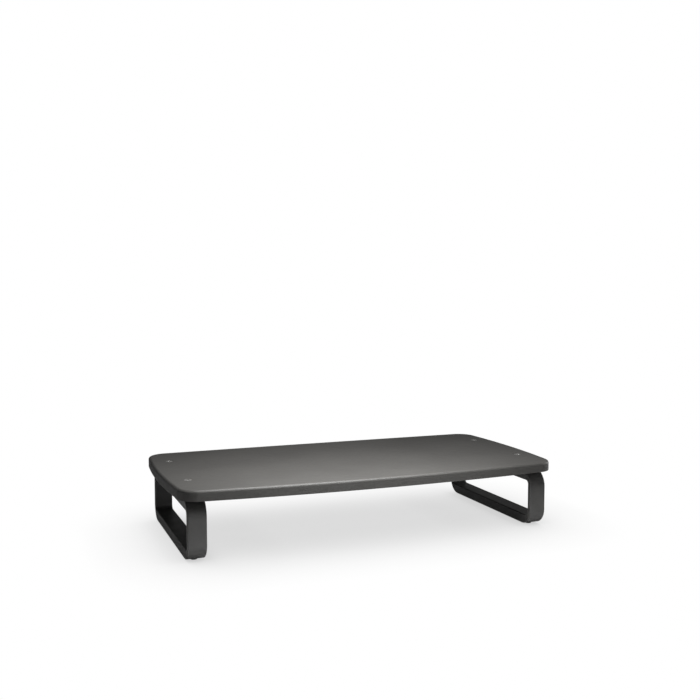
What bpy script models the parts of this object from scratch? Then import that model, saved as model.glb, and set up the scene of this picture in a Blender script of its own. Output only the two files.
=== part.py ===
"""Monitor riser stand: a bow-fronted board on two closed loop legs, each a hollow frame.

Metres, +Z up. The origin is on the floor under the middle of the board's plan.
X runs along the width, -Y is the bowed front edge, and the feet stand on Z = 0.
"""
import math

import bmesh
import bpy
from mathutils import Matrix, Vector

MM = 0.001

# Whole stand
STAND_HEIGHT = 106.2 * MM
GAP = 0.3 * MM                      # clearance between neighbouring pieces

# Board
BOARD_WIDTH = 610.0 * MM
BOARD_DEPTH = 313.0 * MM
BOARD_THICKNESS = 15.5 * MM
CORNER_RADIUS = 30.0 * MM
FRONT_BOW = 13.5 * MM
REAR_BOW = 1.8 * MM
SIDE_BOW = 5.8 * MM
TOP_ROUNDING = 4.2 * MM
FOIL = 0.6 * MM                     # wrapped foil and backing sheet
BOARD_UNDERSIDE = STAND_HEIGHT - BOARD_THICKNESS

# Loop legs
LEG_X = 274.0 * MM                  # middle of each leg
LEG_Y = 6.2 * MM
LEG_LENGTH = 272.5 * MM
LEG_WIDTH = 28.0 * MM
UPRIGHT_DEPTH = 7.5 * MM
RUN_DEPTH = 15.5 * MM               # the loop's top and bottom runs
LEG_WALL = 1.5 * MM
LEG_EDGE = 2.0 * MM                 # rounding of the loop's long edges
BEND_RADIUS = 25.0 * MM             # outside corners of the loop
OPENING_RADIUS = 6.0 * MM           # corners of the loop's opening
PAD_THICKNESS = 1.0 * MM
PAD_WIDTH = 18.0 * MM
PAD_LENGTH = 34.0 * MM
FOOT_HEIGHT = 1.6 * MM
LEG_BOTTOM = FOOT_HEIGHT + GAP
LEG_TOP = BOARD_UNDERSIDE - PAD_THICKNESS - 2 * GAP

# Fasteners and feet
SCREW_PITCH = 148.0 * MM
SCREW_SINK = 0.2 * MM
SCREW_HEAD_RADIUS = 5.4 * MM
SCREW_SHANK_RADIUS = 2.8 * MM
SCREW_LENGTH = 22.0 * MM
SOCKET_ACROSS_FLATS = 4.0 * MM
SOCKET_DEPTH = 2.2 * MM
NUT_ACROSS_FLATS = 10.0 * MM
NUT_HEIGHT = 5.0 * MM
FOOT_RADIUS = 5.0 * MM
FOOT_SETBACK = 27.0 * MM            # foot axis behind the leg's end face
FOOT_STEM_RADIUS = 2.0 * MM
LEG_SCREW_HOLE = 3.4 * MM           # radii of the holes in the loop and the pad
LEG_FOOT_HOLE = FOOT_STEM_RADIUS + GAP
PAD_HOLE = 3.6 * MM
PAD_CORNER = 4.0 * MM
CUT_DEPTH = 18.0 * MM               # how far the board's screw holes are cut below its top

CORNERS = [(side, end) for side in ("left", "right") for end in ("front", "rear")]
SIDE_SIGN = {"left": -1, "right": 1}
END_SIGN = {"front": -1, "rear": 1}


def clear_scene():
    for item in list(bpy.data.objects):
        bpy.data.objects.remove(item, do_unlink=True)


def new_collection(name):
    collection = bpy.data.collections.new(name)
    bpy.context.scene.collection.children.link(collection)
    return collection


clear_scene()
PARTS = new_collection("monitor_riser_stand")
CUTTERS = new_collection("cutters")


def material(name, colour, roughness, metallic=0.0):
    made = bpy.data.materials.new(name)
    made.use_nodes = True
    shader = made.node_tree.nodes["Principled BSDF"]
    shader.inputs["Base Color"].default_value = (*colour, 1.0)
    shader.inputs["Roughness"].default_value = roughness
    shader.inputs["Metallic"].default_value = metallic
    return made


FOIL_BLACK = material("charcoal_foil", (0.060, 0.059, 0.056), 0.42)
CORE_BROWN = material("fibreboard", (0.26, 0.17, 0.10), 0.85)
BACKING_BLACK = material("backing_sheet", (0.030, 0.030, 0.030), 0.70)
COATED_STEEL = material("coated_steel", (0.045, 0.045, 0.046), 0.45)
PLATED_STEEL = material("plated_steel", (0.55, 0.54, 0.52), 0.30, 1.0)
BLACK_STEEL = material("black_oxide_steel", (0.030, 0.030, 0.032), 0.35, 1.0)
RUBBER = material("rubber", (0.018, 0.018, 0.018), 0.80)
FOAM = material("foam_strip", (0.025, 0.025, 0.025), 0.90)


def add_object(name, mesh, finish=None, collection=PARTS):
    made = bpy.data.objects.new(name, mesh)
    collection.objects.link(made)
    if finish:
        mesh.materials.clear()
        mesh.materials.append(finish)
    if collection is CUTTERS:
        made.hide_render = True
        made.display_type = 'WIRE'
    return made


def outline_solid(name, outlines, thickness, place, finish=None, collection=PARTS):
    """A closed solid from flat outlines; a second outline inside the first is a hole."""
    curve = bpy.data.curves.new(name + "_outline", 'CURVE')
    curve.dimensions = '2D'
    curve.fill_mode = 'BOTH'
    curve.extrude = thickness / 2
    for points in outlines:
        spline = curve.splines.new('POLY')
        spline.points.add(len(points) - 1)
        for point, (u, v) in zip(spline.points, points):
            point.co = (u, v, 0.0, 1.0)
        spline.use_cyclic_u = True
    holder = bpy.data.objects.new(name + "_outline", curve)
    bpy.context.scene.collection.objects.link(holder)
    holder.matrix_world = place
    bpy.context.view_layer.update()
    evaluated = holder.evaluated_get(bpy.context.evaluated_depsgraph_get())
    mesh = bpy.data.meshes.new_from_object(evaluated)
    mesh.name = name
    bpy.data.objects.remove(holder, do_unlink=True)
    shell = bmesh.new()
    shell.from_mesh(mesh)
    bmesh.ops.remove_doubles(shell, verts=shell.verts, dist=0.00001)
    bmesh.ops.recalc_face_normals(shell, faces=shell.faces)
    inside_caps = [edge for edge in shell.edges
                   if all(abs(face.normal.z) > 0.99 for face in edge.link_faces)]
    bmesh.ops.dissolve_limit(shell, angle_limit=math.radians(1), edges=inside_caps)
    shell.to_mesh(mesh)
    shell.free()
    mesh.transform(place)
    return add_object(name, mesh, finish, collection)


def round_edges(target, width, segments, angle=50.0):
    bevel = target.modifiers.new("rounded_edges", 'BEVEL')
    bevel.width = width
    bevel.segments = segments
    bevel.limit_method = 'ANGLE'
    bevel.angle_limit = math.radians(angle)
    return bevel


def round_top_rim(target, top, width, segments):
    """Rounds only the edges that lie at the height `top`."""
    mesh = target.data
    weights = mesh.attributes.new("bevel_weight_edge", 'FLOAT', 'EDGE')
    for edge in mesh.edges:
        at_top = all(abs(mesh.vertices[i].co.z - top) < GAP / 10 for i in edge.vertices)
        weights.data[edge.index].value = 1.0 if at_top else 0.0
    bevel = target.modifiers.new("rounded_rim", 'BEVEL')
    bevel.width = width
    bevel.segments = segments
    bevel.limit_method = 'WEIGHT'


def turned(name, profile, place, finish=None, collection=PARTS, steps=24):
    """A turned solid: (radius, height) points run down the outer side."""
    mesh = bpy.data.meshes.new(name)
    edges = [(i, i + 1) for i in range(len(profile) - 1)]
    mesh.from_pydata([(radius, 0.0, height) for radius, height in profile], edges, [])
    made = add_object(name, mesh, finish, collection)
    made.location = place
    screw = made.modifiers.new("turned", 'SCREW')
    screw.axis = 'Z'
    screw.steps = steps
    screw.render_steps = steps
    screw.use_merge_vertices = True
    screw.merge_threshold = 0.00001
    screw.use_smooth_shade = True
    return made


def prism(name, radius, height, place, sides=24, finish=None, collection=CUTTERS):
    """A round or hexagonal bar whose middle is at `place`."""
    mesh = bpy.data.meshes.new(name)
    shell = bmesh.new()
    bmesh.ops.create_cone(shell, cap_ends=True, segments=sides, radius1=radius,
                          radius2=radius, depth=height)
    shell.to_mesh(mesh)
    shell.free()
    made = add_object(name, mesh, finish, collection)
    made.location = place
    return made


def cut(target, cutter):
    boolean = target.modifiers.new("cut_" + cutter.name, 'BOOLEAN')
    boolean.operation = 'DIFFERENCE'
    boolean.solver = 'EXACT'
    boolean.object = cutter


def arc(centre, radius, start, end, count):
    """Points on an arc, without its two ends."""
    steps = [start + (end - start) * i / count for i in range(1, count)]
    return [(centre[0] + radius * math.cos(a), centre[1] + radius * math.sin(a)) for a in steps]


def bowed_edge(start, end, bow, offset, count):
    """An edge bulged outward by `bow`, then moved outward by `offset`."""
    run = end - start
    outward = Vector((run.y, -run.x)).normalized()
    points, normals = [], []
    for i in range(count + 1):
        s = i / count
        point = start + run * s + outward * bow * (1 - (2 * s - 1) ** 2)
        tangent = run - outward * bow * 4 * (2 * s - 1)
        normal = Vector((tangent.y, -tangent.x)).normalized()
        points.append(tuple(point + normal * offset))
        normals.append(math.atan2(normal.y, normal.x))
    return points, normals[0], normals[-1]


def board_outline(inset=0.0):
    """The board's plan, anticlockwise: four bowed edges joined by round corners."""
    half_x = BOARD_WIDTH / 2 - CORNER_RADIUS - SIDE_BOW
    front = -(BOARD_DEPTH / 2 - CORNER_RADIUS - FRONT_BOW)
    rear = BOARD_DEPTH / 2 - CORNER_RADIUS - REAR_BOW
    centres = [Vector((-half_x, front)), Vector((half_x, front)),
               Vector((half_x, rear)), Vector((-half_x, rear))]
    bows = [FRONT_BOW, SIDE_BOW, REAR_BOW, SIDE_BOW]
    counts = [18, 10, 8, 10]
    offset = CORNER_RADIUS - inset
    edges = [bowed_edge(centres[i], centres[(i + 1) % 4], bows[i], offset, counts[i])
             for i in range(4)]
    outline = []
    for i, (points, _, leaving) in enumerate(edges):
        outline += points
        arriving = edges[(i + 1) % 4][1]
        while arriving < leaving:
            arriving += 2 * math.pi
        outline += arc(centres[(i + 1) % 4], offset, leaving, arriving, 8)
    return outline


def rounded_rectangle(width, height, radius, count=8):
    """Anticlockwise outline about the origin."""
    outline = []
    for i, (sx, sy) in enumerate([(1, 1), (-1, 1), (-1, -1), (1, -1)]):
        centre = (sx * (width / 2 - radius), sy * (height / 2 - radius))
        start = i * math.pi / 2
        outline.append((centre[0] + radius * math.cos(start), centre[1] + radius * math.sin(start)))
        outline += arc(centre, radius, start, start + math.pi / 2, count)
        end = start + math.pi / 2
        outline.append((centre[0] + radius * math.cos(end), centre[1] + radius * math.sin(end)))
    return outline


def screw_place(side, end, height):
    return Vector((SIDE_SIGN[side] * LEG_X, LEG_Y + END_SIGN[end] * SCREW_PITCH / 2, height))


def foot_place(side, end, height):
    reach = LEG_LENGTH / 2 - FOOT_SETBACK
    return Vector((SIDE_SIGN[side] * LEG_X, LEG_Y + END_SIGN[end] * reach, height))


def slab(name, inset, low, high, finish=None, collection=PARTS):
    place = Matrix.Translation((0.0, 0.0, (low + high) / 2))
    return outline_solid(name, [board_outline(inset)], high - low, place, finish, collection)


def screw_hole_cutters():
    """Countersunk clearance holes, through every layer of the board."""
    mouth = SCREW_HEAD_RADIUS + 1.5 * GAP
    shank = SCREW_SHANK_RADIUS + 1.5 * GAP
    straight = SCREW_SINK + GAP
    profile = [(0.0, 2 * MM), (mouth, 2 * MM), (mouth, -straight),
               (shank, -straight - mouth + shank), (shank, -CUT_DEPTH), (0.0, -CUT_DEPTH)]
    return [turned(f"cut_screw_hole_{side}_{end}", profile, screw_place(side, end, STAND_HEIGHT),
                   collection=CUTTERS) for side, end in CORNERS]


def make_board():
    holes = screw_hole_cutters()
    foil = slab("board_foil", 0.0, BOARD_UNDERSIDE, STAND_HEIGHT, FOIL_BLACK)
    round_top_rim(foil, STAND_HEIGHT, TOP_ROUNDING, 4)
    inside = slab("cut_foil_inside", FOIL, BOARD_UNDERSIDE - 2 * MM, STAND_HEIGHT - FOIL,
                  collection=CUTTERS)
    round_top_rim(inside, STAND_HEIGHT - FOIL, TOP_ROUNDING - FOIL, 4)
    cut(foil, inside)

    skin = FOIL + GAP
    core = slab("board_core", skin, BOARD_UNDERSIDE + skin, STAND_HEIGHT - skin, CORE_BROWN)
    round_top_rim(core, STAND_HEIGHT - skin, TOP_ROUNDING - skin, 4)
    backing = slab("board_backing", skin, BOARD_UNDERSIDE, BOARD_UNDERSIDE + FOIL, BACKING_BLACK)
    for layer in (foil, core, backing):
        for hole in holes:
            cut(layer, hole)


def loop_ring(name, wall, edge, side, finish=None, collection=PARTS):
    """A closed loop in the YZ plane, `wall` inside the leg's surface all round."""
    height = LEG_TOP - LEG_BOTTOM
    upright = UPRIGHT_DEPTH - wall
    run = RUN_DEPTH - wall
    outlines = [rounded_rectangle(LEG_LENGTH - 2 * wall, height - 2 * wall, BEND_RADIUS - wall),
                rounded_rectangle(LEG_LENGTH - 2 * upright, height - 2 * run,
                                  OPENING_RADIUS + wall)]
    turn = Matrix.Rotation(math.pi / 2, 4, 'Z') @ Matrix.Rotation(math.pi / 2, 4, 'X')
    middle = (SIDE_SIGN[side] * LEG_X, LEG_Y, (LEG_TOP + LEG_BOTTOM) / 2)
    ring = outline_solid(name, outlines, LEG_WIDTH - 2 * wall,
                         Matrix.Translation(middle) @ turn, finish, collection)
    round_edges(ring, edge, 3 if collection is PARTS else 2)
    return ring


def make_leg(side):
    """Hollow steel loop, shallow uprights and deeper runs, open at its screw and foot holes."""
    leg = loop_ring(f"leg_loop_{side}", 0.0, LEG_EDGE, side, COATED_STEEL)
    cut(leg, loop_ring(f"cut_leg_void_{side}", LEG_WALL, LEG_EDGE - LEG_WALL, side,
                       collection=CUTTERS))
    for end in ("front", "rear"):
        top_wall = screw_place(side, end, LEG_TOP - LEG_WALL / 2)
        bottom_wall = foot_place(side, end, LEG_BOTTOM + LEG_WALL / 2)
        cut(leg, prism(f"cut_leg_screw_{side}_{end}", LEG_SCREW_HOLE, 2 * LEG_WALL, top_wall))
        cut(leg, prism(f"cut_leg_foot_{side}_{end}", LEG_FOOT_HOLE, 2 * LEG_WALL, bottom_wall, 16))


def make_pad(side, end):
    """Thin pad around the screw that keeps the steel loop off the board's underside."""
    middle = screw_place(side, end, LEG_TOP + GAP + PAD_THICKNESS / 2)
    outline = rounded_rectangle(PAD_WIDTH, PAD_LENGTH, PAD_CORNER, 4)
    pad = outline_solid(f"leg_pad_{side}_{end}", [outline], PAD_THICKNESS,
                        Matrix.Translation(middle), FOAM)
    cut(pad, prism(f"cut_pad_{side}_{end}", PAD_HOLE, 3 * PAD_THICKNESS, middle))


def make_screw(side, end):
    """Countersunk socket screw; its thread is left plain."""
    shoulder = SCREW_SHANK_RADIUS - SCREW_HEAD_RADIUS
    tip = 0.6 * MM
    profile = [(0.0, 0.0), (SCREW_HEAD_RADIUS - GAP, 0.0), (SCREW_HEAD_RADIUS, -GAP),
               (SCREW_SHANK_RADIUS, shoulder - GAP), (SCREW_SHANK_RADIUS, tip - SCREW_LENGTH),
               (SCREW_SHANK_RADIUS - tip, -SCREW_LENGTH), (0.0, -SCREW_LENGTH)]
    top = STAND_HEIGHT - SCREW_SINK
    screw = turned(f"board_screw_{side}_{end}", profile, screw_place(side, end, top), BLACK_STEEL)
    corner_radius = SOCKET_ACROSS_FLATS / 2 / math.cos(math.pi / 6)
    cut(screw, prism(f"cut_socket_{side}_{end}", corner_radius, 2 * SOCKET_DEPTH,
                     screw_place(side, end, top), 6))


def make_weld_nut(side, end):
    """Hexagon nut welded under the loop's top wall before the loop is closed."""
    middle = screw_place(side, end, LEG_TOP - LEG_WALL - GAP - NUT_HEIGHT / 2)
    corner_radius = NUT_ACROSS_FLATS / 2 / math.cos(math.pi / 6)
    nut = prism(f"weld_nut_{side}_{end}", corner_radius, NUT_HEIGHT, middle, 6, PLATED_STEEL, PARTS)
    cut(nut, prism(f"cut_thread_{side}_{end}", SCREW_SHANK_RADIUS + GAP, 2 * NUT_HEIGHT, middle))


def make_foot(side, end):
    """Push-in rubber foot: a pad, a stem through the wall and a barb inside the loop."""
    stem = FOOT_STEM_RADIUS
    barb = 2.7 * MM
    neck = LEG_BOTTOM + LEG_WALL + GAP
    profile = [(0.0, neck + 2.0 * MM), (stem * 0.6, neck + 2.0 * MM), (barb, neck + 0.4 * MM),
               (barb, neck), (stem, neck), (stem, FOOT_HEIGHT), (FOOT_RADIUS - 0.4 * MM, FOOT_HEIGHT),
               (FOOT_RADIUS, FOOT_HEIGHT - 0.4 * MM), (FOOT_RADIUS, 0.6 * MM),
               (FOOT_RADIUS - 0.6 * MM, 0.0), (0.0, 0.0)]
    turned(f"rubber_foot_{side}_{end}", profile, foot_place(side, end, 0.0), RUBBER)


def shade_round_pieces():
    for item in PARTS.objects:
        item.data.shade_smooth()
        item.data.set_sharp_from_angle(angle=math.radians(35))


make_board()
for leg_side in ("left", "right"):
    make_leg(leg_side)
for leg_side, leg_end in CORNERS:
    make_screw(leg_side, leg_end)
    make_pad(leg_side, leg_end)
    make_weld_nut(leg_side, leg_end)
    make_foot(leg_side, leg_end)
shade_round_pieces()
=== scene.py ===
"""Looks of the monitor riser stand: smooth final meshes, materials, light and camera.

Metres, +Z up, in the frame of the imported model. The board's foil, the loop legs, the screws
and the feet are modelled again at full smoothness; the other nodes keep their shape.
"""
import math

import bmesh
import bpy
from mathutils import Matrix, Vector


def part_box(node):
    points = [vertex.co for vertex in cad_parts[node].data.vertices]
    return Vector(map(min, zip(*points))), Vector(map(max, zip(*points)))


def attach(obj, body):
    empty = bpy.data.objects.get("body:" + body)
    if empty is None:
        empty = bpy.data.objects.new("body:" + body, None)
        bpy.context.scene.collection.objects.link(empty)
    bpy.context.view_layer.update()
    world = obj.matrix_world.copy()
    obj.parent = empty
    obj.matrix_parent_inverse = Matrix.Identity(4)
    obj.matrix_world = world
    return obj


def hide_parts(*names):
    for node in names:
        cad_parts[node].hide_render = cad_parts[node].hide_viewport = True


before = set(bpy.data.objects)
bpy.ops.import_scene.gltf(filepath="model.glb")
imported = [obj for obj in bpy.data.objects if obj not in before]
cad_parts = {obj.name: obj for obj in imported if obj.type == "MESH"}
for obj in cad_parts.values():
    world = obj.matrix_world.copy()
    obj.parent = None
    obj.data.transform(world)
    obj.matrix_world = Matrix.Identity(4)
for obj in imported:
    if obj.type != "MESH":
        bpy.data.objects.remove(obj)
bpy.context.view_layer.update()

MM = 0.001
SIDES = ("left", "right")
CORNERS = [f"{side}_{end}" for side in SIDES for end in ("front", "rear")]

# Board, beyond what the frame's boxes say
CORNER_RADIUS = 30.0 * MM
FRONT_BOW = 13.5 * MM
REAR_BOW = 1.8 * MM
SIDE_BOW = 5.8 * MM
TOP_ROUNDING = 4.2 * MM
LOWER_ROUNDING = 0.35 * MM
TOP_LAND = 0.8 * MM                 # level strip inside the rounding
FOIL = 0.6 * MM
EDGE_STEPS = (64, 32, 48, 32)       # front, right, rear, left
CORNER_STEPS = 20

# Loop legs
BEND_RADIUS = 25.0 * MM
OPENING_RADIUS = 6.0 * MM
UPRIGHT_DEPTH = 7.5 * MM
RUN_DEPTH = 15.5 * MM
LEG_EDGE = 2.0 * MM                 # rounding of the long edges

# Screws
SHANK_RADIUS = 2.8 * MM
HEAD_LAND = 1.2 * MM                # level ring on the head's top
HEAD_EDGE = 0.22 * MM               # rounding of the head's edge
HEAD_RIM = 0.3 * MM                 # height of the head above its cone
SOCKET_ACROSS_FLATS = 4.0 * MM
SOCKET_DEPTH = 2.2 * MM
LEAD_IN_INSET = 0.1 * MM            # the lead-in's mouth inside the socket's corners
LEAD_IN_DEPTH = 0.5 * MM
THREAD_PITCH = 1.0 * MM
THREAD_DEPTH = 0.3 * MM
THREAD_START = 9.0 * MM             # below the head's top
POINT_CHAMFER = 0.6 * MM
SCREW_BEVEL = 0.06 * MM

# Screw holes in the board
HOLE_CLEARANCE = 0.45 * MM          # round the head and the shank
HOLE_ROLL = 0.35 * MM               # the foil rolls into the mouth
HOLE_RIM = 0.5 * MM                 # straight part of the mouth above the cone
OVERCUT = 1.0 * MM                  # how far a cutter runs past the surface

# Feet
FOOT_GAP = 0.3 * MM                 # between the foot's shoulder and the leg
STEM_RADIUS = 2.0 * MM
BARB_RADIUS = 2.7 * MM
BARB_LIFT = 1.8 * MM                # the barb's ledge above the leg's underside
BARB_LEDGE = 0.4 * MM
SHOULDER_EDGE = 0.5 * MM
FOOT_EDGE = 0.7 * MM
FOOT_CUP = 0.35 * MM

# Camera
LENS = 47.76
CAMERA_PLACE = (-0.53384, -1.38465, 0.39311)
CAMERA_DOWN = 4.29
CAMERA_TURN = 21.20

RIDERS = []


# ---------------------------------------------------------------- mesh helpers

def add_piece(name, shell, replaced=None, slot=None):
    """Turns a bmesh into a smooth-shaded piece, which can stand for a CAD node."""
    bmesh.ops.recalc_face_normals(shell, faces=shell.faces)
    mesh = bpy.data.meshes.new(name)
    shell.to_mesh(mesh)
    shell.free()
    mesh.shade_smooth()
    piece = bpy.data.objects.new(name, mesh)
    bpy.context.scene.collection.objects.link(piece)
    if replaced:
        RIDERS.append((piece, replaced, slot))
    return piece


def loft(rings, cap_first=False, cap_last=False, close=False):
    """Quads between rings of equally many points."""
    shell = bmesh.new()
    rows = [[shell.verts.new(point) for point in ring] for ring in rings]
    count = len(rows[0])
    pairs = list(zip(rows, rows[1:]))
    if close:
        pairs.append((rows[-1], rows[0]))
    for low, high in pairs:
        for i in range(count):
            j = (i + 1) % count
            shell.faces.new((low[i], low[j], high[j], high[i]))
    if cap_first:
        shell.faces.new(rows[0])
    if cap_last:
        shell.faces.new(rows[-1])
    return shell


def turned(profile, centre, steps):
    """A turned shell: (radius, height) points; the two end points lie on the axis."""
    shell = bmesh.new()
    first = shell.verts.new(centre + Vector((0, 0, profile[0][1])))
    last = shell.verts.new(centre + Vector((0, 0, profile[-1][1])))
    rows = []
    for radius, height in profile[1:-1]:
        angles = [2 * math.pi * i / steps for i in range(steps)]
        ring = [Vector((radius * math.cos(a), radius * math.sin(a), height)) for a in angles]
        rows.append([shell.verts.new(centre + point) for point in ring])
    for high, low in zip(rows, rows[1:]):
        for i in range(steps):
            j = (i + 1) % steps
            shell.faces.new((high[i], high[j], low[j], low[i]))
    for i in range(steps):
        j = (i + 1) % steps
        shell.faces.new((first, rows[0][i], rows[0][j]))
        shell.faces.new((last, rows[-1][j], rows[-1][i]))
    return shell


def fillet(centre, radius, start, end, count=6):
    """(radius, height) points on an arc of a turned profile, ends included; degrees."""
    angles = [math.radians(start + (end - start) * i / count) for i in range(count + 1)]
    return [(centre[0] + radius * math.cos(a), centre[1] + radius * math.sin(a)) for a in angles]


def cut_and_apply(piece, cutters):
    """Subtracts the cutters for good and removes them."""
    for cutter in cutters:
        boolean = piece.modifiers.new("cut", 'BOOLEAN')
        boolean.operation = 'DIFFERENCE'
        boolean.solver = 'EXACT'
        boolean.object = cutter
    bpy.context.view_layer.update()
    evaluated = piece.evaluated_get(bpy.context.evaluated_depsgraph_get())
    mesh = bpy.data.meshes.new_from_object(evaluated)
    piece.modifiers.clear()
    piece.data = mesh
    for cutter in cutters:
        bpy.data.objects.remove(cutter, do_unlink=True)


def sharpen(piece, degrees=35):
    """Keeps hard edges hard and lets the large faces lead the smooth normals."""
    piece.data.shade_smooth()
    piece.data.set_sharp_from_angle(angle=math.radians(degrees))
    weighted = piece.modifiers.new("face_weighted_normals", 'WEIGHTED_NORMAL')
    weighted.keep_sharp = True
    weighted.weight = 100


def soften_edges(piece, width, segments, degrees):
    bevel = piece.modifiers.new("soft_edges", 'BEVEL')
    bevel.width = width
    bevel.segments = segments
    bevel.limit_method = 'ANGLE'
    bevel.angle_limit = math.radians(degrees)


# ---------------------------------------------------------------- board skin

def bowed_edge(start, end, bow, offset, count):
    """An edge bulged outward by `bow`, then moved outward by `offset`."""
    run = end - start
    outward = Vector((run.y, -run.x)).normalized()
    points, directions = [], []
    for i in range(count + 1):
        s = i / count
        point = start + run * s + outward * bow * (1 - (2 * s - 1) ** 2)
        tangent = run - outward * bow * 4 * (2 * s - 1)
        normal = Vector((tangent.y, -tangent.x)).normalized()
        points.append(point + normal * offset)
        directions.append(math.atan2(normal.y, normal.x))
    return points, directions[0], directions[-1]


def board_ring(inset, height):
    """The board's plan at one height: four bowed edges joined by round corners."""
    low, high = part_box("board_foil")
    half_x = (high.x - low.x) / 2 - CORNER_RADIUS - SIDE_BOW
    front = -((high.y - low.y) / 2 - CORNER_RADIUS - FRONT_BOW)
    rear = (high.y - low.y) / 2 - CORNER_RADIUS - REAR_BOW
    middle = (low + high).to_2d() / 2
    centres = [Vector((-half_x, front)), Vector((half_x, front)),
               Vector((half_x, rear)), Vector((-half_x, rear))]
    bows = [FRONT_BOW, SIDE_BOW, REAR_BOW, SIDE_BOW]
    offset = CORNER_RADIUS - inset
    edges = [bowed_edge(centres[i], centres[(i + 1) % 4], bows[i], offset, EDGE_STEPS[i])
             for i in range(4)]
    ring = []
    for i, (points, _, leaving) in enumerate(edges):
        ring += points
        arriving = edges[(i + 1) % 4][1]
        while arriving < leaving:
            arriving += 2 * math.pi
        for k in range(1, CORNER_STEPS):
            a = leaving + (arriving - leaving) * k / CORNER_STEPS
            ring.append(centres[(i + 1) % 4] + offset * Vector((math.cos(a), math.sin(a))))
    return [(middle + point).to_3d() + Vector((0, 0, height)) for point in ring]


def rim(radius, skin, top, count):
    """(inset, height) points up the quarter-round rim of a skin `skin` inside the outside."""
    angles = [math.pi / 2 * i / count for i in range(count + 1)]
    return [(skin + radius * (1 - math.cos(a)), top - radius * (1 - math.sin(a))) for a in angles]


def hole_cutter(corner, board_top, board_low):
    """Countersunk hole whose mouth the foil rolls into."""
    low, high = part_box(f"board_screw_{corner}")
    centre = Vector(((low.x + high.x) / 2, (low.y + high.y) / 2, 0))
    mouth = (high.x - low.x) / 2 + HOLE_CLEARANCE
    shank = SHANK_RADIUS + HOLE_CLEARANCE
    cone_top = board_top - HOLE_RIM
    profile = [(0, board_top + OVERCUT), (mouth + HOLE_ROLL, board_top + OVERCUT)]
    profile += fillet((mouth + HOLE_ROLL, board_top - HOLE_ROLL), HOLE_ROLL, 90, 180, 5)
    profile += [(mouth, cone_top), (shank, cone_top - mouth + shank),
                (shank, board_low - OVERCUT), (0, board_low - OVERCUT)]
    return add_piece("hole", turned(profile, centre, 64))


def make_board_skin():
    """The foil: an open-bottomed skin round the board, with its four screw holes."""
    low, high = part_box("board_foil")
    inner = rim(TOP_ROUNDING - FOIL, FOIL, high.z - FOIL, 6)
    outer = rim(TOP_ROUNDING, 0.0, high.z, 12)
    lower = [(LOWER_ROUNDING * (1 - math.sin(a)), low.z + LOWER_ROUNDING * (1 - math.cos(a)))
             for a in [math.pi / 2 * i / 4 for i in range(5)]]
    stations = inner[::-1] + [(FOIL, low.z)] + lower + outer
    stations.append((TOP_ROUNDING + TOP_LAND, high.z))
    rings = [board_ring(inset, height) for inset, height in stations]
    skin = add_piece("board_skin", loft(rings, cap_first=True, cap_last=True),
                     "board_foil", "charcoal_foil")
    cut_and_apply(skin, [hole_cutter(corner, high.z, low.z) for corner in CORNERS])
    sharpen(skin)
    return skin


# ---------------------------------------------------------------- loop legs

def loop_corner(half_length, half_height, radius, quarter, angle):
    """(along, up) point on a rounded corner of an upright rectangle."""
    along, up = [(1, 1), (-1, 1), (-1, -1), (1, -1)][quarter]
    return Vector((along * (half_length - radius) + radius * math.cos(angle),
                   up * (half_height - radius) + radius * math.sin(angle)))


def loop_stations(length, height, bend=20, run=12):
    """Matching (outside point, opening point, outward direction) all round the loop."""
    stops = []
    for quarter in range(4):
        for i in range(bend + 1):
            angle = math.pi / 2 * (quarter + i / bend)
            outside = loop_corner(length / 2, height / 2, BEND_RADIUS, quarter, angle)
            opening = loop_corner(length / 2 - UPRIGHT_DEPTH, height / 2 - RUN_DEPTH,
                                  OPENING_RADIUS, quarter, angle)
            stops.append((outside, opening, Vector((math.cos(angle), math.sin(angle)))))
    stations = []
    for here, there in zip(stops, stops[1:] + stops[:1]):
        stations.append(here)
        if (there[0] - here[0]).length > BEND_RADIUS / 2:
            stations += [(here[0].lerp(there[0], k / run), here[1].lerp(there[1], k / run), here[2])
                         for k in range(1, run)]
    return stations


def leg_section(outside, opening, outward, half_width, count=6):
    """Section of the loop at one station, its four long edges rounded: (across, along, up)."""
    flat = half_width - LEG_EDGE
    turn = [math.pi / 2 * i / count for i in range(count + 1)]
    outer = [(flat + LEG_EDGE * math.sin(a), outside - outward * LEG_EDGE * (1 - math.cos(a)))
             for a in turn]
    inner = [(flat + LEG_EDGE * math.sin(a), opening + outward * LEG_EDGE * (1 - math.cos(a)))
             for a in turn]
    half = outer + inner[::-1]
    other_half = [(-across, point) for across, point in half[::-1]]
    return [Vector((across, point.x, point.y)) for across, point in half + other_half]


def make_leg(side):
    """One loop leg as it looks from outside."""
    low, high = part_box(f"leg_loop_{side}")
    size = high - low
    middle = (low + high) / 2
    rings = [[middle + point for point in leg_section(*station, size.x / 2)]
             for station in loop_stations(size.y, size.z)]
    leg = add_piece(f"leg_shell_{side}", loft(rings, close=True), f"leg_loop_{side}",
                    "coated_steel")
    sharpen(leg)
    return leg


# ---------------------------------------------------------------- screws and feet

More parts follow.
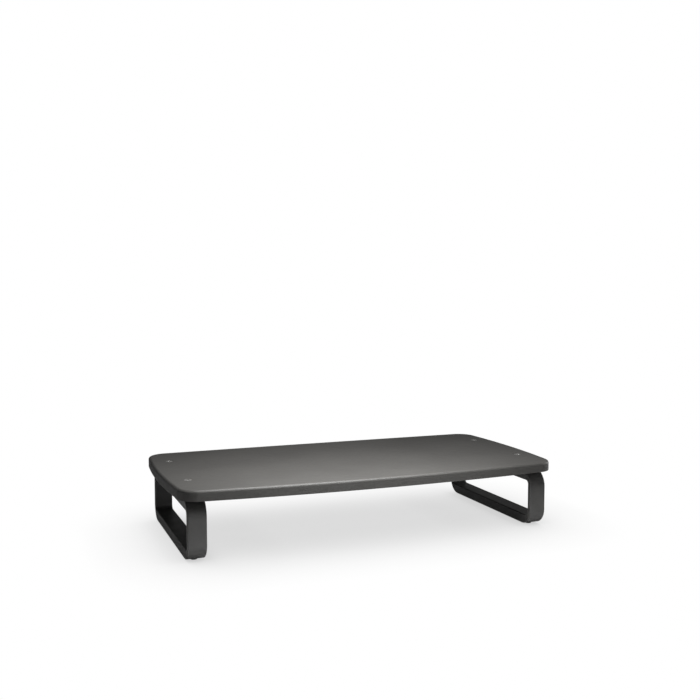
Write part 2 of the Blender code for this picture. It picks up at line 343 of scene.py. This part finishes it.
def make_screw(corner):
    """Countersunk socket screw with a cut thread below the board."""
    low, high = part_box(f"board_screw_{corner}")
    centre = Vector(((low.x + high.x) / 2, (low.y + high.y) / 2, 0))
    head = (high.x - low.x) / 2
    top = high.z
    cone_top = top - HEAD_RIM
    profile = [(0, top), (head - HEAD_LAND, top)]
    profile += fillet((head - HEAD_EDGE, top - HEAD_EDGE), HEAD_EDGE, 90, 0, 4)
    profile += [(head, cone_top), (SHANK_RADIUS, cone_top - (head - SHANK_RADIUS))]
    root = SHANK_RADIUS - THREAD_DEPTH
    height = top - THREAD_START
    while height > low.z + 2 * POINT_CHAMFER:
        profile += [(SHANK_RADIUS, height), (root, height - THREAD_PITCH * 0.45),
                    (SHANK_RADIUS, height - THREAD_PITCH * 0.9)]
        height -= THREAD_PITCH
    profile += [(SHANK_RADIUS, low.z + POINT_CHAMFER), (SHANK_RADIUS - POINT_CHAMFER, low.z),
                (0, low.z)]
    screw = add_piece(f"socket_screw_{corner}", turned(profile, centre, 48),
                      f"board_screw_{corner}", "black_oxide_steel")
    cutter = bmesh.new()
    corner_radius = SOCKET_ACROSS_FLATS / 2 / math.cos(math.pi / 6)
    bmesh.ops.create_cone(cutter, cap_ends=True, segments=6, radius1=corner_radius,
                          radius2=corner_radius, depth=2 * SOCKET_DEPTH)
    bmesh.ops.translate(cutter, verts=cutter.verts, vec=centre + Vector((0, 0, top)))
    hexagon = add_piece("hexagon", cutter)
    mouth = corner_radius - LEAD_IN_INSET
    lead_in = [(0, top + OVERCUT), (mouth + OVERCUT, top + OVERCUT),
               (mouth - LEAD_IN_DEPTH, top - LEAD_IN_DEPTH), (0, top - LEAD_IN_DEPTH)]
    cone_cutter = add_piece("lead_in", turned(lead_in, centre, 48))
    cut_and_apply(screw, [hexagon, cone_cutter])
    soften_edges(screw, SCREW_BEVEL, 2, 30)
    sharpen(screw, 40)
    return screw


def make_foot(corner):
    """Moulded rubber foot: soft-edged pad with a shallow cup under it, and its stem."""
    low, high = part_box(f"rubber_foot_{corner}")
    leg_low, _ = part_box(f"leg_loop_{corner.split('_')[0]}")
    centre = Vector(((low.x + high.x) / 2, (low.y + high.y) / 2, 0))
    radius = (high.x - low.x) / 2
    shoulder = leg_low.z - FOOT_GAP
    ledge = leg_low.z + BARB_LIFT
    profile = [(0, high.z), (STEM_RADIUS * 0.6, high.z), (BARB_RADIUS, ledge + BARB_LEDGE),
               (BARB_RADIUS, ledge), (STEM_RADIUS, ledge), (STEM_RADIUS, shoulder)]
    profile += fillet((radius - SHOULDER_EDGE, shoulder - SHOULDER_EDGE), SHOULDER_EDGE, 90, 0, 5)
    profile += fillet((radius - FOOT_EDGE, low.z + FOOT_EDGE), FOOT_EDGE, 0, -90, 6)
    profile += [(radius * 0.62, low.z), (radius * 0.56, low.z + FOOT_CUP * 0.4),
                (radius * 0.45, low.z + FOOT_CUP), (0, low.z + FOOT_CUP)]
    foot = add_piece(f"foot_{corner}", turned(profile, centre, 64), f"rubber_foot_{corner}",
                     "rubber")
    sharpen(foot, 50)
    return foot


# ---------------------------------------------------------------- materials

def new_material(name):
    made = bpy.data.materials.new(name)
    made.use_nodes = True
    shader = made.node_tree.nodes["Principled BSDF"]
    return made, shader


def add_node(made, kind, **inputs):
    node = made.node_tree.nodes.new(kind)
    for key, value in inputs.items():
        node.inputs[key.replace("_", " ")].default_value = value
    return node


def link(made, source, output, target, socket):
    made.node_tree.links.new(source.outputs[output], target.inputs[socket])


def place(made):
    return made.node_tree.nodes.new("ShaderNodeTexCoord")


def noise(made, scale, detail=3.0, roughness=0.5, stretch=None):
    """Noise in object space; `stretch` scales each axis first."""
    texture = add_node(made, "ShaderNodeTexNoise", Scale=scale, Detail=detail,
                       Roughness=roughness)
    where = place(made)
    if stretch:
        mapping = add_node(made, "ShaderNodeMapping", Scale=stretch)
        link(made, where, "Object", mapping, "Vector")
        link(made, mapping, "Vector", texture, "Vector")
    else:
        link(made, where, "Object", texture, "Vector")
    return texture


def ramp(made, source, output, low, high, low_at=0.3, high_at=0.7):
    """Maps a texture's value to a range of colours or of greys."""
    node = made.node_tree.nodes.new("ShaderNodeValToRGB")
    stops = node.color_ramp.elements
    stops[0].position, stops[1].position = low_at, high_at
    stops[0].color = (*low, 1) if isinstance(low, tuple) else (low, low, low, 1)
    stops[1].color = (*high, 1) if isinstance(high, tuple) else (high, high, high, 1)
    link(made, source, output, node, "Fac")
    return node


def bump(made, shader, layers):
    """Stacks bump layers, coarse to fine; each is (texture, output, distance, strength)."""
    previous = None
    for texture, output, distance, strength in layers:
        node = add_node(made, "ShaderNodeBump", Strength=strength, Distance=distance)
        link(made, texture, output, node, "Height")
        if previous:
            link(made, previous, "Normal", node, "Normal")
        previous = node
    link(made, previous, "Normal", shader, "Normal")


def foil_material():
    """Charcoal foil: satin, with a very fine pebble and a slight unevenness of sheen."""
    made, shader = new_material("charcoal_foil_look")
    shader.inputs["Specular IOR Level"].default_value = 0.34
    tint = noise(made, 9.0, 4.0)
    colour = ramp(made, tint, "Fac", (0.0365, 0.0355, 0.0335), (0.0430, 0.0420, 0.0395))
    link(made, colour, "Color", shader, "Base Color")
    sheen = ramp(made, noise(made, 90.0, 4.0, 0.6), "Fac", 0.54, 0.60)
    link(made, sheen, "Color", shader, "Roughness")
    pebble = add_node(made, "ShaderNodeTexVoronoi", Scale=1500.0)
    link(made, place(made), "Object", pebble, "Vector")
    grain = noise(made, 2600.0, 2.0)
    bump(made, shader, [(pebble, "Distance", 0.03 * MM, 0.25), (grain, "Fac", 0.02 * MM, 0.25)])
    return made


def coat_material():
    """Powder coat on steel: low orange peel under a fine grain."""
    made, shader = new_material("powder_coat_look")
    shader.inputs["Specular IOR Level"].default_value = 0.45
    tint = noise(made, 40.0, 4.0)
    colour = ramp(made, tint, "Fac", (0.040, 0.039, 0.038), (0.050, 0.049, 0.047))
    link(made, colour, "Color", shader, "Base Color")
    sheen = ramp(made, noise(made, 60.0, 4.0, 0.6), "Fac", 0.38, 0.48)
    link(made, sheen, "Color", shader, "Roughness")
    peel = noise(made, 420.0, 2.0)
    grain = noise(made, 2200.0, 2.0)
    bump(made, shader, [(peel, "Fac", 0.10 * MM, 0.35), (grain, "Fac", 0.03 * MM, 0.4)])
    return made


def screw_material():
    """Black oxide steel: a satin gunmetal with a fine grain."""
    made, shader = new_material("screw_steel_look")
    shader.inputs["Metallic"].default_value = 1.0
    colour = ramp(made, noise(made, 900.0, 3.0), "Fac", (0.33, 0.325, 0.315), (0.41, 0.405, 0.395))
    link(made, colour, "Color", shader, "Base Color")
    sheen = ramp(made, noise(made, 1400.0, 3.0), "Fac", 0.46, 0.56)
    link(made, sheen, "Color", shader, "Roughness")
    grain = noise(made, 3000.0, 3.0)
    bump(made, shader, [(grain, "Fac", 0.01 * MM, 0.4)])
    return made


def zinc_material():
    """Zinc plate with a faint spangle, for the nuts inside the legs."""
    made, shader = new_material("zinc_look")
    shader.inputs["Metallic"].default_value = 1.0
    colour = ramp(made, noise(made, 500.0, 4.0), "Fac", (0.46, 0.45, 0.43), (0.60, 0.59, 0.56))
    link(made, colour, "Color", shader, "Base Color")
    sheen = ramp(made, noise(made, 800.0, 3.0), "Fac", 0.28, 0.45)
    link(made, sheen, "Color", shader, "Roughness")
    bump(made, shader, [(noise(made, 1800.0, 3.0), "Fac", 0.02 * MM, 0.3)])
    return made


def rubber_material(name, colour_low, colour_high, grain_scale, depth):
    """Matt black rubber or foam; `grain_scale` and `depth` set its surface."""
    made, shader = new_material(name)
    shader.inputs["Specular IOR Level"].default_value = 0.35
    colour = ramp(made, noise(made, 300.0, 3.0), "Fac", colour_low, colour_high)
    link(made, colour, "Color", shader, "Base Color")
    sheen = ramp(made, noise(made, 700.0, 3.0), "Fac", 0.68, 0.86)
    link(made, sheen, "Color", shader, "Roughness")
    bump(made, shader, [(noise(made, grain_scale, 3.0), "Fac", depth, 0.5)])
    return made


def backing_material():
    """Matt backing paper with short fibres along the board."""
    made, shader = new_material("backing_paper_look")
    shader.inputs["Specular IOR Level"].default_value = 0.3
    fibres = noise(made, 60.0, 6.0, 0.65, (6.0, 40.0, 6.0))
    colour = ramp(made, fibres, "Fac", (0.020, 0.020, 0.020), (0.034, 0.033, 0.032))
    link(made, colour, "Color", shader, "Base Color")
    sheen = ramp(made, fibres, "Fac", 0.62, 0.80)
    link(made, sheen, "Color", shader, "Roughness")
    bump(made, shader, [(fibres, "Fac", 0.05 * MM, 0.4)])
    return made


def fibreboard_material():
    """Raw fibreboard: fine light and dark fibres."""
    made, shader = new_material("fibreboard_look")
    fibres = noise(made, 700.0, 6.0, 0.7)
    colour = ramp(made, fibres, "Fac", (0.20, 0.13, 0.075), (0.34, 0.23, 0.14))
    link(made, colour, "Color", shader, "Base Color")
    sheen = ramp(made, fibres, "Fac", 0.78, 0.92)
    link(made, sheen, "Color", shader, "Roughness")
    bump(made, shader, [(fibres, "Fac", 0.08 * MM, 0.5)])
    return made


def give(piece, made):
    piece.data.materials.clear()
    piece.data.materials.append(made)


# ---------------------------------------------------------------- stage, light, camera

def make_stage(shade, spread, bounce, lift, near, far):
    """A pale floor. To the eye it is a glowing light table with a painted shadow: its glow is
    darkened to `shade` by ambient occlusion where the object closes off its view within `spread`,
    and fades to plain white between `near` and `far` from its middle. To the object it is a floor
    that gives back `bounce` of the light on it and glows by `lift`. From below it is clear."""
    shell = bmesh.new()
    bmesh.ops.create_grid(shell, x_segments=1, y_segments=1, size=30.0)
    floor = add_piece("floor", shell)
    made, shader = new_material("pale_floor")
    shader.inputs["Base Color"].default_value = (bounce, bounce, bounce, 1)
    shader.inputs["Roughness"].default_value = 1.0
    shader.inputs["Specular IOR Level"].default_value = 0.0
    shader.inputs["Emission Color"].default_value = (1, 1, 1, 1)
    shader.inputs["Emission Strength"].default_value = lift
    # painted shadow: where the camera sees the floor, ambient occlusion darkens its glow under and
    # beside the object
    painted_shadow_occlusion = add_node(made, "ShaderNodeAmbientOcclusion", Distance=spread)
    painted_shadow_occlusion.samples = 16
    painted_shadow_glow = add_node(made, "ShaderNodeMapRange", To_Min=shade, To_Max=1.0)
    link(made, painted_shadow_occlusion, "AO", painted_shadow_glow, "Value")
    reach = add_node(made, "ShaderNodeVectorMath")
    reach.operation = 'LENGTH'
    link(made, place(made), "Object", reach, 0)
    fade = add_node(made, "ShaderNodeMapRange", From_Min=near, From_Max=far)
    fade.interpolation_type = 'SMOOTHSTEP'
    link(made, reach, "Value", fade, "Value")
    whitened = add_node(made, "ShaderNodeMix", B=1.0)
    link(made, fade, "Result", whitened, "Factor")
    link(made, painted_shadow_glow, "Result", whitened, "A")
    table = add_node(made, "ShaderNodeEmission")
    link(made, whitened, "Result", table, "Strength")
    mix = add_node(made, "ShaderNodeMixShader")
    link(made, add_node(made, "ShaderNodeLightPath"), "Is Camera Ray", mix, "Fac")
    link(made, shader, "BSDF", mix, 1)
    link(made, table, "Emission", mix, 2)
    one_sided = add_node(made, "ShaderNodeMixShader")
    link(made, add_node(made, "ShaderNodeNewGeometry"), "Backfacing", one_sided, "Fac")
    link(made, mix, "Shader", one_sided, 1)
    link(made, add_node(made, "ShaderNodeBsdfTransparent"), "BSDF", one_sided, 2)
    link(made, one_sided, "Shader", made.node_tree.nodes["Material Output"], "Surface")
    give(floor, made)


def make_world(seen, horizon, zenith):
    """A studio that looks white behind the object and lights it softly from above."""
    world = bpy.data.worlds.new("studio")
    bpy.context.scene.world = world
    world.use_nodes = True
    nodes, links = world.node_tree.nodes, world.node_tree.links
    backdrop = nodes["Background"]
    backdrop.inputs["Color"].default_value = (1, 1, 1, 1)
    backdrop.inputs["Strength"].default_value = seen
    room = nodes.new("ShaderNodeBackground")
    direction = nodes.new("ShaderNodeTexCoord")
    axes = nodes.new("ShaderNodeSeparateXYZ")
    height = nodes.new("ShaderNodeMapRange")
    height.inputs["From Min"].default_value = 0.0
    height.inputs["From Max"].default_value = 1.0
    height.inputs["To Min"].default_value = horizon
    height.inputs["To Max"].default_value = zenith
    path = nodes.new("ShaderNodeLightPath")
    mix = nodes.new("ShaderNodeMixShader")
    links.new(direction.outputs["Generated"], axes.inputs["Vector"])
    links.new(axes.outputs["Z"], height.inputs["Value"])
    links.new(height.outputs["Result"], room.inputs["Strength"])
    links.new(path.outputs["Is Camera Ray"], mix.inputs["Fac"])
    links.new(room.outputs["Background"], mix.inputs[1])
    links.new(backdrop.outputs["Background"], mix.inputs[2])
    links.new(mix.outputs["Shader"], nodes["World Output"].inputs["Surface"])


def add_softbox(name, energy, size, location, target):
    """A rectangular soft light that the camera doesn't see, turned toward `target`."""
    light = bpy.data.lights.new(name, 'AREA')
    light.shape = 'RECTANGLE'
    light.size, light.size_y = size
    light.energy = energy
    lamp = bpy.data.objects.new(name, light)
    lamp.location = location
    lamp.rotation_euler = (Vector(target) - Vector(location)).to_track_quat('-Z', 'Y').to_euler()
    lamp.visible_camera = False
    bpy.context.scene.collection.objects.link(lamp)


def make_camera():
    data = bpy.data.cameras.new("camera")
    data.sensor_width = 36.0
    data.lens = LENS
    data.clip_end = 200.0
    camera = bpy.data.objects.new("camera", data)
    camera.location = CAMERA_PLACE
    camera.rotation_euler = (math.radians(90 - CAMERA_DOWN), 0, math.radians(-CAMERA_TURN))
    bpy.context.scene.collection.objects.link(camera)
    bpy.context.scene.camera = camera


# ---------------------------------------------------------------- the build

make_camera()
skin_piece = make_board_skin()
leg_pieces = [make_leg(side) for side in SIDES]
screw_pieces = [make_screw(corner) for corner in CORNERS]
foot_pieces = [make_foot(corner) for corner in CORNERS]

give(skin_piece, foil_material())
COAT = coat_material()
SCREW = screw_material()
RUBBER = rubber_material("rubber_look", (0.014, 0.014, 0.014), (0.022, 0.022, 0.021), 1500.0,
                         0.03 * MM)
FOAM = rubber_material("foam_look", (0.018, 0.018, 0.018), (0.032, 0.032, 0.031), 1100.0,
                       0.12 * MM)
ZINC = zinc_material()
for leg_piece in leg_pieces:
    give(leg_piece, COAT)
for screw_piece in screw_pieces:
    give(screw_piece, SCREW)
for foot_piece in foot_pieces:
    give(foot_piece, RUBBER)
for corner_name in CORNERS:
    give(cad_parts[f"leg_pad_{corner_name}"], FOAM)
    give(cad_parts[f"weld_nut_{corner_name}"], ZINC)
give(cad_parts["board_backing"], backing_material())
give(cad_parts["board_core"], fibreboard_material())

for piece, node_name, slot_name in RIDERS:
    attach(piece, "root")
    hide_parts(node_name)

make_stage(shade=0.55, spread=0.15, bounce=0.50, lift=0.10, near=0.40, far=0.80)
make_world(seen=1.0, horizon=0.19, zenith=0.04)
add_softbox("overhead", 7.0, (0.42, 0.16), (-0.04, -0.21, 0.42), (-0.02, -0.13, 0.10))
add_softbox("front_fill", 3.4, (1.4, 0.9), (0.0, -2.2, 0.55), (0.0, 0.0, 0.05))
add_softbox("side_fill", 14.0, (0.9, 0.7), (1.9, 0.1, 0.45), (0.0, 0.0, 0.05))
bpy.context.scene.view_settings.view_transform = 'Standard'
